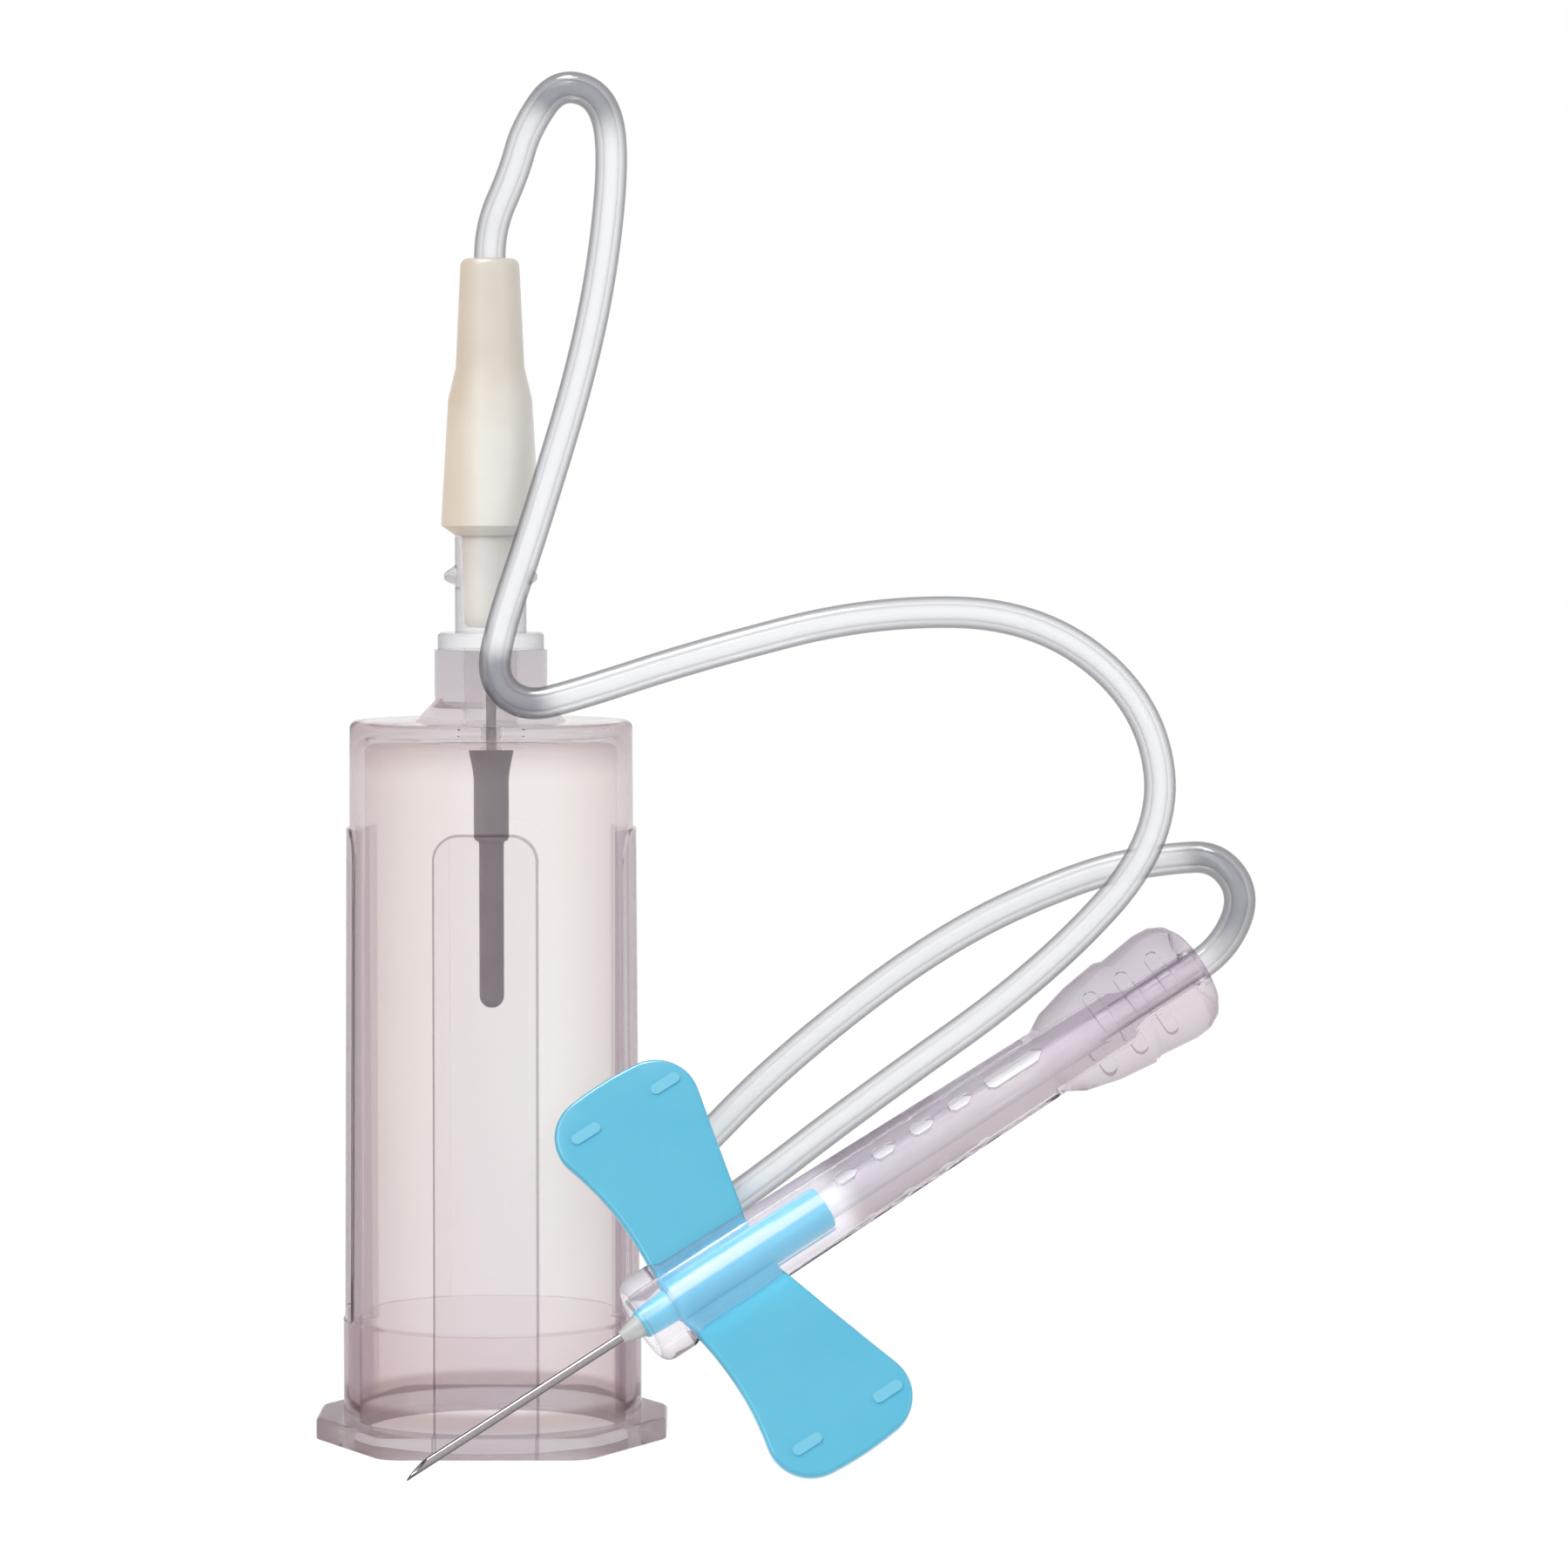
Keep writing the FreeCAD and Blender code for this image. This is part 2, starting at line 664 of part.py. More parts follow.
def tubing():
    """Tube swept along straight runs joined by arcs as large as the runs allow."""
    points = route_points()
    edges = []
    start = points[0]
    for index in range(1, len(points) - 1):
        corner = points[index]
        before = corner - points[index - 1]
        after = points[index + 1] - corner
        turn = before.getAngle(after)
        shorter = min(before.Length, after.Length)
        cut = 0.45 * shorter
        radius = cut / math.tan(turn / 2)
        before.normalize()
        after.normalize()
        enter = corner - before * cut
        leave = corner + after * cut
        bisector = after - before
        bisector.normalize()
        centre = corner + bisector * (radius / math.cos(turn / 2))
        middle = centre - bisector * radius
        edges.append(Part.LineSegment(start, enter).toShape())
        edges.append(Part.Arc(enter, middle, leave).toShape())
        start = leave
        print("bend", index, "turn %.0f degrees" % math.degrees(turn), "radius %.1f mm" % radius)
    edges.append(Part.LineSegment(start, points[-1]).toShape())
    path = Part.Wire(edges)
    first = Part.makeCircle(tube_radius, points[0], points[1] - points[0])
    hole = Part.makeCircle(tube_bore / 2, points[0], points[1] - points[0])
    outer = path.makePipeShell([Part.Wire(first)], True, False)
    inner = path.makePipeShell([Part.Wire(hole)], True, False)
    tube = outer.cut(inner)
    section = math.pi * (tube_radius ** 2 - tube_bore ** 2 / 4)
    share = tube.Volume / (section * path.Length)
    print("tubing length %.1f mm" % path.Length, "volume share %.4f" % share)
    return tube


def main():
    os.makedirs("parts", exist_ok=True)
    place = laid()
    standing = {
        "tube_holder": tube_holder(),
        "cone_adapter": cone_adapter(),
        "rear_cannula": rear_cannula(),
        "rubber_sleeve": rubber_sleeve(),
        "tubing_connector": tubing_connector(),
        "tubing": tubing(),
    }
    leaning = {
        "wing_body": wing_body(),
        "needle_hub": needle_hub(),
        "patient_needle": patient_needle(),
        "safety_shield": safety_shield(),
    }
    for name, shape in leaning.items():
        shape.Placement = place.multiply(shape.Placement)
        standing[name] = shape
    for name, shape in standing.items():
        box = shape.BoundBox
        print(name, "solids", len(shape.Solids), "volume %.1f" % shape.Volume, "lowest %.3f" % box.ZMin)
        shape.exportStep("parts/" + name + ".step")


main()
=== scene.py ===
import math
import bpy
import numpy as np
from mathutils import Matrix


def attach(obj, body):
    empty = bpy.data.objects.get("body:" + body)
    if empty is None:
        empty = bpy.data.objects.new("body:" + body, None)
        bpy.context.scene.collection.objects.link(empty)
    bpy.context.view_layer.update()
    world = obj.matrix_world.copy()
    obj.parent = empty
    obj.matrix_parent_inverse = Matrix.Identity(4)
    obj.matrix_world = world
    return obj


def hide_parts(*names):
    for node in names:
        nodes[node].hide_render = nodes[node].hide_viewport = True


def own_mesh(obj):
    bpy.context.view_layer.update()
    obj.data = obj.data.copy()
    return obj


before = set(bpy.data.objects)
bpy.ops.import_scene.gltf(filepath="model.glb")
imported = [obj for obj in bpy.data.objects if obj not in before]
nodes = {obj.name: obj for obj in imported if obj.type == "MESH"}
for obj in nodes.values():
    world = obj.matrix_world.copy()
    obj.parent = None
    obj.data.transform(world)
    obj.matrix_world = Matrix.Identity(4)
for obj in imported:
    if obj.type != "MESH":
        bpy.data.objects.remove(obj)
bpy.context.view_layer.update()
mm = 0.001

# Camera of the photograph: a long lens a little above the table, looking slightly down
photoCamera = {
    "position": (0.02135, -0.425, 0.07104),
    "downTilt": 3.161,  # degrees
    "lens": 134.0,  # mm, on the sensor's width
    "sensor": 36.0,  # mm
    "clip": (0.01, 20.0),  # metres, nearest and farthest seen
}

# The winged set's own axes in the frame: from the needle's point to the rear, across the wings,
# and out of the wings' front face
layOfSet = {
    "tip": (-0.00506, -0.02183, 0.00043),
    "along": (0.8266, 0.2527, 0.5029),
    "across": (-0.5628, 0.3847, 0.7316),
    "outward": (-0.0085, -0.8877, 0.4602),
}

# The lamps aim at the middle. The gleam lamp is overhead and only gloss sees it: it adds gloss along
# the blue tube, where the wing's colour also holds a painted highlight line.
studio = {
    "skyForLight": 0.62,  # what the white room gives to matt surfaces
    "backdrop": 1.0,  # what the camera, gloss and clear plastic see
    "floorSize": 3.0,
    "floorWhite": 0.86,
    "floorGlow": 0.06,
    "floorShadow": 0.10,  # how much of the real shading the floor keeps
    "middle": (0.02, 0.0, 0.045),
    "lamps": {
        "key": {"place": (-0.35, -0.45, 0.45), "size": (0.3, 0.4), "power": 1.3, "matt": True},
        "fill": {"place": (0.5, -0.35, 0.25), "size": (0.35, 0.35), "power": 0.45, "matt": True},
        "gleam": {"place": (-0.14, -0.07, 0.62), "size": (0.22, 0.22), "power": 4.5, "matt": False},
    },
}


# welding gaps are far below the finest wall, and edges sharper than the angle stay crisp
meshFinish = {"cadWeld": 0.002 * mm, "tubeWeld": 0.001 * mm, "sharpAngle": 28.0}


# a mesh placed in the scene under a name
def newObject(name, mesh):
    piece = bpy.data.objects.new(name, mesh)
    bpy.context.scene.collection.objects.link(piece)
    return piece


# points is an array rings x sides x 3; quads join each point to the next one round and along
def gridMesh(name, points):
    rings, sides = points.shape[:2]
    ring = np.arange(rings - 1)[:, None]
    side = np.arange(sides)[None, :]
    a = ring * sides + side
    b = ring * sides + (side + 1) % sides
    quads = np.stack([a, b, b + sides, a + sides], axis=-1).reshape(-1, 4)
    mesh = bpy.data.meshes.new(name)
    mesh.from_pydata(points.reshape(-1, 3).tolist(), [], quads.tolist())
    mesh.polygons.foreach_set("use_smooth", np.ones(len(mesh.polygons), bool))
    mesh.update()
    return mesh


# smooth step from 0 at low to 1 at high: 3t squared minus 2t cubed
def ease(low, high, x):
    t = np.clip((x - low) / (high - low), 0.0, 1.0)
    return t * t * (3 - 2 * t)


# a fresh material with its node tree and its main shader
def newMaterial(name):
    material = bpy.data.materials.new(name)
    material.use_nodes = True
    tree = material.node_tree
    shader = tree.nodes["Principled BSDF"]
    return material, tree, shader


# plain numbers straight on the shader's sockets
def setValues(shader, values):
    for socket, value in values.items():
        shader.inputs[socket].default_value = value


# cloudy noise on the object's own coordinates, drawn out along the axes where stretch is small
def noiseNode(tree, scale, detail=3.0, stretch=(1, 1, 1)):
    place = tree.nodes.new("ShaderNodeTexCoord")
    mapping = tree.nodes.new("ShaderNodeMapping")
    mapping.inputs["Scale"].default_value = stretch
    noise = tree.nodes.new("ShaderNodeTexNoise")
    noise.inputs["Scale"].default_value = scale
    noise.inputs["Detail"].default_value = detail
    tree.links.new(place.outputs["Object"], mapping.inputs["Vector"])
    tree.links.new(mapping.outputs["Vector"], noise.inputs["Vector"])
    return noise


# a number turned into a colour by stops of (place, linear colour)
def rampNode(tree, source, stops):
    ramp = tree.nodes.new("ShaderNodeValToRGB")
    tree.links.new(source, ramp.inputs["Fac"])
    while len(ramp.color_ramp.elements) < len(stops):
        ramp.color_ramp.elements.new(0.5)
    for element, (where, colour) in zip(ramp.color_ramp.elements, stops):
        element.position = where
        element.color = (*colour, 1.0)
    return ramp


# the surface tilts as if it were raised by the source's value times the distance
def bumpFrom(tree, shader, source, strength, distance):
    bump = tree.nodes.new("ShaderNodeBump")
    bump.inputs["Strength"].default_value = strength
    bump.inputs["Distance"].default_value = distance
    tree.links.new(source, bump.inputs["Height"])
    tree.links.new(bump.outputs["Normal"], shader.inputs["Normal"])


# display colour 0 to 255 as linear light
def srgb(r, g, b):
    c = np.array([r, g, b]) / 255.0
    linear = np.where(c <= 0.04045, c / 12.92, ((c + 0.055) / 1.055) ** 2.4)
    return tuple(float(v) for v in linear)


# one sum on outputs or plain numbers
def mathNode(tree, operation, first, second=None):
    node = tree.nodes.new("ShaderNodeMath")
    node.operation = operation
    for socket, value in zip(node.inputs, (first, second)):
        if value is None:
            continue
        if isinstance(value, (int, float)):
            socket.default_value = value
        else:
            tree.links.new(value, socket)
    return node.outputs[0]


# colour outputs multiplied together
def multiplied(tree, colours):
    result = colours[0]
    for colour in colours[1:]:
        mix = tree.nodes.new("ShaderNodeMix")
        mix.data_type = "RGBA"
        mix.blend_type = "MULTIPLY"
        mix.inputs["Factor"].default_value = 1.0
        tree.links.new(result, mix.inputs["A"])
        tree.links.new(colour, mix.inputs["B"])
        result = mix.outputs["Result"]
    return result


# share of the way from the first colour to the second; each is an output or a plain colour
def blended(tree, share, first, second):
    mix = tree.nodes.new("ShaderNodeMix")
    mix.data_type = "RGBA"
    tree.links.new(share, mix.inputs["Factor"])
    for socket, colour in (("A", first), ("B", second)):
        if isinstance(colour, tuple):
            mix.inputs[socket].default_value = (*colour, 1)
        else:
            tree.links.new(colour, mix.inputs[socket])
    return mix.outputs["Result"]


# 1 where a place is farther from the upright axis than a radius, 0 inside it
def outsideRadius(tree, radius):
    place = tree.nodes.new("ShaderNodeTexCoord")
    flat = tree.nodes.new("ShaderNodeVectorMath")
    flat.operation = "MULTIPLY"
    flat.inputs[1].default_value = (1, 1, 0)
    tree.links.new(place.outputs["Object"], flat.inputs[0])
    far = tree.nodes.new("ShaderNodeVectorMath")
    far.operation = "LENGTH"
    tree.links.new(flat.outputs[0], far.inputs[0])
    return mathNode(tree, "GREATER_THAN", far.outputs["Value"], radius)


# 1 farther than a radius from the winged set's axis: the length of (place - tip) x axis
def outsideBore(tree, radius):
    place = tree.nodes.new("ShaderNodeTexCoord")
    chain = place.outputs["Object"]
    for operation, second in (
        ("SUBTRACT", layOfSet["tip"]),
        ("CROSS_PRODUCT", layOfSet["along"]),
        ("LENGTH", None),
    ):
        step = tree.nodes.new("ShaderNodeVectorMath")
        step.operation = operation
        tree.links.new(chain, step.inputs[0])
        if second:
            step.inputs[1].default_value = second
        chain = step.outputs[0]
    return mathNode(tree, "GREATER_THAN", step.outputs["Value"], radius)


# painted shade: pale where a wall faces you and greyer where it turns edge on, standing in for the
# darker surroundings that clear plastic bends into sight there and that steel reflects
def paintedEdgeShade(tree, values):
    turn = tree.nodes.new("ShaderNodeLayerWeight")
    turn.inputs["Blend"].default_value = 0.5
    facing = turn.outputs["Facing"]
    if "skinRadius" in values:
        facing = mathNode(tree, "MULTIPLY", facing, outsideRadius(tree, values["skinRadius"]))
    if "boreRadius" in values:
        facing = mathNode(tree, "MULTIPLY", facing, outsideBore(tree, values["boreRadius"]))
    return rampNode(tree, facing, values["facing"]).outputs["Color"]


# colours along a direction through the object: the place's share of the way from low to high
def alongTint(tree, axis, low, high, stops):
    place = tree.nodes.new("ShaderNodeTexCoord")
    dot = tree.nodes.new("ShaderNodeVectorMath")
    dot.operation = "DOT_PRODUCT"
    dot.inputs[1].default_value = axis
    tree.links.new(place.outputs["Object"], dot.inputs[0])
    share = tree.nodes.new("ShaderNodeMapRange")
    share.inputs["From Min"].default_value = low
    share.inputs["From Max"].default_value = high
    tree.links.new(dot.outputs["Value"], share.inputs["Value"])
    return rampNode(tree, share.outputs["Result"], stops).outputs["Color"]


# colours along one of the set's axes, between two distances from the needle's point
def setTint(tree, axis, low, high, stops):
    start = float(np.dot(layOfSet[axis], layOfSet["tip"]))
    return alongTint(tree, layOfSet[axis], start + low, start + high, stops)


# depth of the finest surface grain
fineDepth = 0.02 * mm


# moulded see-through plastic with refracting walls, coloured with painted edge shade; the tints, some
# of them painted shade, are more colours to multiply in
def clearPlastic(name, values, tintsAndShade=None):
    material, tree, shader = newMaterial(name)
    setValues(shader, {
        "Roughness": values["roughness"],
        "IOR": values["ior"],
        "Transmission Weight": values["clear"],
    })
    colours = [paintedEdgeShade(tree, values)] + (tintsAndShade(tree) if tintsAndShade else [])
    tree.links.new(multiplied(tree, colours), shader.inputs["Base Color"])
    haze = noiseNode(tree, values["grain"], 4.0, values.get("stretch", (1, 1, 1)))
    bumpFrom(tree, shader, haze.outputs["Fac"], values["bump"], fineDepth)
    return material


# cloudy colour between two close tints, for the plastics and rubber that light doesn't pass
def cloudRamp(tree, values):
    cloud = noiseNode(tree, values["cloud"], values["cloudDetail"])
    low, high = values["cloudColours"]
    return rampNode(tree, cloud.outputs["Fac"], [(0.3, low), (0.7, high)]).outputs["Color"]


# a CAD node keeps its mesh: its loose triangles are welded and its edges over the angle stay crisp
def dress(node, material):
    piece = nodes[node]
    piece.data.materials.clear()
    piece.data.materials.append(material)
    piece.data.polygons.foreach_set("use_smooth", np.ones(len(piece.data.polygons), bool))
    weld = piece.modifiers.new("weld", "WELD")
    weld.merge_threshold = meshFinish["cadWeld"]
    split = piece.modifiers.new("crisp", "EDGE_SPLIT")
    split.split_angle = math.radians(meshFinish["sharpAngle"])


# level and facing +y, then tipped down by its angle
def makeCamera():
    data = bpy.data.cameras.new("photo_camera")
    data.lens = photoCamera["lens"]
    data.sensor_width = photoCamera["sensor"]
    data.clip_start, data.clip_end = photoCamera["clip"]
    camera = bpy.data.objects.new("photo_camera", data)
    camera.location = photoCamera["position"]
    camera.rotation_euler = (math.radians(90 - photoCamera["downTilt"]), 0, 0)
    bpy.context.scene.collection.objects.link(camera)
    bpy.context.scene.camera = camera


makeCamera()
print("camera placed")

# Control points in metres, the same as the solid's route; two more stand in the straight ends
tubingRoute = {
    "diameter": 2.3 * mm,
    "lumen": 1.2 * mm,
    "length": 0.282,
    "sides": 40,
    "resolution": 14,
    # the grey in bends is painted shade
    "smooth": 25,  # stations over which a bend's grey fades in
    "bends": (0.16, 0.62),  # width over bend radius where the grey starts and where it is full
    "lightFrom": (0.86, 0.0, 0.51),
    "shelter": (31 * mm, 36 * mm),  # from the far end, where the shield begins to hide the edges
    "shelterShare": 0.75,  # and how much it hides them
    "points": [
        (0.0, 0.0, 0.07782),
        (0.0, 0.0, 0.0837),
        (0.0, 0.0, 0.0880),
        (0.0018, -0.0008, 0.0919),
        (0.0027, -0.0012, 0.0951),
        (0.0051, -0.0020, 0.09845),
        (0.0086, -0.0026, 0.09715),
        (0.0091, -0.0030, 0.0914),
        (0.0075, -0.0032, 0.0801),
        (0.0034, -0.0042, 0.0664),
        (0.0007, -0.0058, 0.0584),
        (0.0005, -0.0066, 0.0552),
        (0.0028, -0.0069, 0.05345),
        (0.0063, -0.0070, 0.0543),
        (0.0154, -0.0050, 0.0572),
        (0.0276, -0.0040, 0.0603),
        (0.0396, -0.0040, 0.0601),
        (0.0478, -0.0050, 0.0536),
        (0.0489, -0.0060, 0.0440),
        (0.0402, -0.0053, 0.0342),
        (0.0267, -0.0068, 0.0248),
        (0.0179, -0.0090, 0.0182),
        (0.0129, -0.0086, 0.0152),
        (0.0107, -0.0050, 0.0172),
        (0.0140, -0.0005, 0.0199),
        (0.0214, 0.0005, 0.0274),
        (0.0331, 0.0005, 0.0364),
        (0.0436, -0.0005, 0.0412),
        (0.0495, -0.0019, 0.0423),
        (0.0528, -0.0034, 0.0425),
        (0.0547, -0.0048, 0.0397),
        (0.053131, -0.004038, 0.035831),
        (0.049494, -0.005150, 0.033618),
        (0.016472, -0.015246, 0.013529),
    ],
}


# points along one smooth NURBS line through the route's control points
def splinePath(values):
    curve = bpy.data.curves.new("tubing_line", "CURVE")
    curve.dimensions = "3D"
    spline = curve.splines.new("NURBS")
    route = values["points"]
    spline.points.add(len(route) - 1)
    for point, place in zip(spline.points, route):
        point.co = (*place, 1.0)
    spline.order_u = 3
    spline.use_endpoint_u = True
    spline.resolution_u = values["resolution"]
    holder = bpy.data.objects.new("tubing_line", curve)
    bpy.context.scene.collection.objects.link(holder)
    mesh = bpy.data.meshes.new_from_object(holder)
    flat = np.zeros(len(mesh.vertices) * 3)
    mesh.vertices.foreach_get("co", flat)
    bpy.data.objects.remove(holder)
    bpy.data.meshes.remove(mesh)
    return flat.reshape(-1, 3)


# circles carried along a path: each ring stands square to the line's direction,
# and its first spoke is the last one's with the part along the new direction taken away
def carriedRings(path, radius, sides):
    ahead = np.gradient(path, axis=0)
    ahead /= np.linalg.norm(ahead, axis=1)[:, None]
    spoke = np.cross(ahead[0], (0.0, 1.0, 0.0))
    spokes = []
    for direction in ahead:
        spoke = spoke - direction * spoke.dot(direction)
        spoke = spoke / np.linalg.norm(spoke)
        spokes.append(spoke)
    spokes = np.array(spokes)
    across = np.cross(ahead, spokes)
    angle = np.linspace(0, 2 * np.pi, sides, endpoint=False)
    cosine, sine = np.cos(angle)[None, :, None], np.sin(angle)[None, :, None]
    return path[:, None, :] + radius * (cosine * spokes[:, None, :] + sine * across[:, None, :])


# 0 where the line is straight, 1 where it bends as tightly as its own width:
# the turn between neighbouring steps over the step's length, smoothed along the line
def bendShare(path):
    step = np.diff(path, axis=0)
    length = np.linalg.norm(step, axis=1)
    unit = step / length[:, None]
    turn = np.linalg.norm(np.diff(unit, axis=0), axis=1) / (0.5 * (length[1:] + length[:-1]))
    turn = np.concatenate([turn[:1], turn, turn[-1:]])
    window = np.hanning(tubingRoute["smooth"])
    half = tubingRoute["smooth"] // 2
    smooth = np.convolve(np.pad(turn, half, mode="edge"), window / window.sum(), "same")
    return ease(*tubingRoute["bends"], smooth[half:][:len(path)] * tubingRoute["diameter"])


# one value for each point of the mesh, for a material to read by name
def carry(mesh, name, values):
    layer = mesh.attributes.new(name, "FLOAT", "POINT")
    layer.data.foreach_set("value", values.ravel().astype(np.float32))


# the tube's wall and bore, with each point's share of painted bend shade, of painted side shade and
# of shelter carried along
def makeTubing():
    route = tubingRoute
    path = splinePath(route)
    outer = carriedRings(path, route["diameter"] / 2, route["sides"])
    inner = carriedRings(path, route["lumen"] / 2, route["sides"])
    # one closed sheet: along the outside, back along the bore, and round to the start again
    mesh = gridMesh("clear_tubing", np.concatenate([outer, inner[::-1], outer[:1]]))

    def bothWays(along):
        return np.repeat(np.concatenate([along, along[::-1], along[:1]]), route["sides"])

    carry(mesh, "bend", bothWays(bendShare(path)))
    # how far each point faces away from the key light: outward spoke against its direction
    outward = (outer - path[:, None, :]) / (route["diameter"] / 2)
    away = ease(-0.2, 1.0, -outward @ np.array(route["lightFrom"]))
    carry(mesh, "side", np.concatenate([away, away[::-1] * 0, away[:1]]))
    # more than 0 inside the shield, where the tube's edges hardly show
    steps = np.linalg.norm(np.diff(path, axis=0), axis=1)
    toEnd = np.concatenate([np.cumsum(steps[::-1])[::-1], [0.0]])
    carry(mesh, "sheltered", bothWays(route["shelterShare"] * (1 - ease(*route["shelter"], toEnd))))
    piece = newObject("clear_tubing", mesh)
    weld = piece.modifiers.new("weld", "WELD")
    weld.merge_threshold = meshFinish["tubeWeld"]
    return piece, path


tubingPiece, tubingPath = makeTubing()
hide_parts("tubing")
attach(tubingPiece, "set")
print("tubing laid")

# In mm, with heights above the table
sleeveShape = {
    "top": 50.40,
    "headRadius": 1.62,
    "headFall": 2.6,  # over which the flared head narrows to the body
    "bodyRadius": 1.28,
    "step": 43.40,
    "rollRadius": 0.3,  # of the body's lower edge
    "foldWidth": 0.06,  # the crease where the finger starts
    "foldFall": 0.25,
    "thinRadius": 0.90,
    "tip": 31.20,
    "slitRadius": 0.38,
    "slitDepth": 0.9,
    "boreRadius": 0.45,
    "seatRadius": 0.72,  # round the adapter's stub
    "seatDepth": 3.2,
    "sides": 64,
}


# profile of (radius, height) in mm turned round the upright axis, closed back on itself
def lathe(name, profile, sides):
    profile = np.array(profile, float)
    angle = np.linspace(0, 2 * np.pi, sides, endpoint=False)
    points = np.stack([
        profile[:, 0, None] * np.cos(angle),
        profile[:, 0, None] * np.sin(angle),
        np.repeat(profile[:, 1, None], sides, axis=1),
    ], axis=-1)
    return newObject(name, gridMesh(name, points * mm))


# outside from the top down: flared head, straight body, rolled step, thin finger and round tip,
# then up the inside: slit, bore and seat
def makeSleeve():
    s = sleeveShape
    t = np.linspace(0, 1, 9)
    flare = (s["headRadius"] - s["bodyRadius"]) * ease(0, 1, t)
    head = np.stack([s["headRadius"] - flare, s["top"] - s["headFall"] * t], 1)
    turn = np.linspace(0, np.pi / 2, 8)
    r = s["rollRadius"]
    roll = np.stack([s["bodyRadius"] - r + r * np.cos(turn), s["step"] + r - r * np.sin(turn)], 1)
    r = s["thinRadius"]
    dome = np.stack([r * np.cos(turn), s["tip"] + r - r * np.sin(turn)], 1)[:-1]
    fold = np.array([[r + s["foldWidth"], s["step"] - 0.02], [r, s["step"] - s["foldFall"]]])
    inside = np.array([
        [s["slitRadius"], s["tip"] + 0.07], [s["slitRadius"], s["tip"] + s["slitDepth"]],
        [s["boreRadius"], s["tip"] + s["slitDepth"] + 0.05],
        [s["boreRadius"], s["top"] - s["seatDepth"] - 0.1],
        [s["seatRadius"], s["top"] - s["seatDepth"]], [s["seatRadius"], s["top"]],
        [s["headRadius"], s["top"]],
    ])
    return lathe("rubber_sleeve_soft", np.concatenate([head, roll, fold, dome, inside]), s["sides"])


sleevePiece = makeSleeve()
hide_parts("rubber_sleeve")
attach(sleevePiece, "set")
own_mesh(sleevePiece)
print("sleeve made")

# In each of these, facing gives the painted edge shade from face on to edge on, ior is low where what
# lies behind should keep its place, clear is the share of light let through, and grain is how many
# clouds stand in a metre
holderPlastic = {
    "facing": [
        (0.0, (1, 1, 1)), (0.10, srgb(254, 252, 251)), (0.22, srgb(248, 244, 243)),
        (0.50, srgb(230, 222, 223)), (0.80, srgb(206, 196, 198)), (1.0, srgb(172, 162, 166)),
    ],
    "roughness": 0.08,
    "ior": 1.08,
    "clear": 0.92,
    "grain": 900.0,
    "bump": 0.04,
    "stretch": (1, 1, 0.1),
    # painted edge shade darkens the wall outside this radius
    "skinRadius": 9.9 * mm,  # outside this the wall darkens where it turns edge on
    "panelHalf": 3.7 * mm,  # half the front panel's width
    "panelTop": 44.4 * mm,
    "panelCorner": 1.9 * mm,
    "panelLine": 0.10 * mm,
    "frontColour": srgb(249, 247, 250),
    # painted shade: the fine line round the front panel's edge
    "paintedLineColour": srgb(196, 188, 192),
    "sideFrom": 9.15 * mm,  # the side panels begin this far out
    # painted shade on the side panels, where they turn edge on
    "sideShadeColour": srgb(216, 210, 216),
    "coreRadius": 2.4 * mm,  # of the boss's bore
    "halfWidth": 14 * mm,
    # painted shade makes the left a little darker than the right
    "acrossColours": [  # the flange's ends stand out darkest
        (0.0, srgb(216, 208, 211)), (0.105, srgb(216, 208, 211)), (0.12, srgb(248, 245, 245)),
        (0.35, srgb(251, 249, 249)), (0.65, srgb(255, 255, 255)), (0.88, srgb(255, 255, 255)),
        (0.895, srgb(222, 214, 217)), (1.0, srgb(222, 214, 217)),
    ],
    "height": 57.4 * mm,
    # the rim of the mouth is darker with painted shade of the holder's inside seen through it
    "uprightColours": [  # flange, rim of the mouth, foot, barrel, shoulder and boss
        (0.0, srgb(206, 200, 203)), (0.027, srgb(206, 200, 203)), (0.034, srgb(203, 190, 190)),
        (0.048, srgb(206, 193, 193)), (0.054, srgb(242, 236, 237)), (0.149, srgb(244, 239, 240)),
        (0.152, srgb(249, 247, 247)), (0.45, srgb(250, 249, 248)), (0.84, srgb(251, 249, 248)),
        (0.885, srgb(234, 228, 228)), (0.91, srgb(212, 206, 210)), (1.0, srgb(205, 199, 203)),
    ],
}
adapterPlastic = {
    "facing": [
        (0.0, (1, 1, 1)), (0.2, srgb(240, 239, 241)), (0.6, srgb(202, 199, 202)),
        (1.0, srgb(152, 148, 152)),
    ],
    "roughness": 0.10,
    "ior": 1.10,
    "clear": 0.86,
    "grain": 700.0,
    "bump": 0.04,
    "skinRadius": 2.3 * mm,
}
shieldPlastic = {
    "facing": [(0.2, srgb(255, 254, 255)), (0.6, srgb(218, 212, 217)), (1.0, srgb(150, 143, 148))],
    "roughness": 0.12,
    "ior": 1.09,
    "clear": 0.94,
    "grain": 500.0,
    "bump": 0.05,
    "boreRadius": 2.6 * mm,  # inside this the wall doesn't darken
    "hubEnd": 36.0 * mm,  # from the needle's point
    "rear": 68.0 * mm,
    "rearColours": [
        (0.0, srgb(255, 254, 255)), (0.05, srgb(225, 221, 224)), (0.5, srgb(226, 221, 224)),
        (1.0, srgb(227, 220, 225)),
    ],
    "halfWidth": 2.9 * mm,
    # painted shade: the upper side is greyer
    "upperShadeColours": [
        (0.0, srgb(255, 254, 255)), (0.35, srgb(255, 254, 255)), (0.65, srgb(243, 243, 246)),
        (1.0, srgb(236, 236, 240)),
    ],
}
hubPlastic = {
    "facing": [(0.3, srgb(244, 246, 243)), (0.9, srgb(200, 205, 200))],
    "roughness": 0.12,
    "ior": 1.46,
    "clear": 0.4,
    "grain": 600.0,
    "bump": 0.05,
}


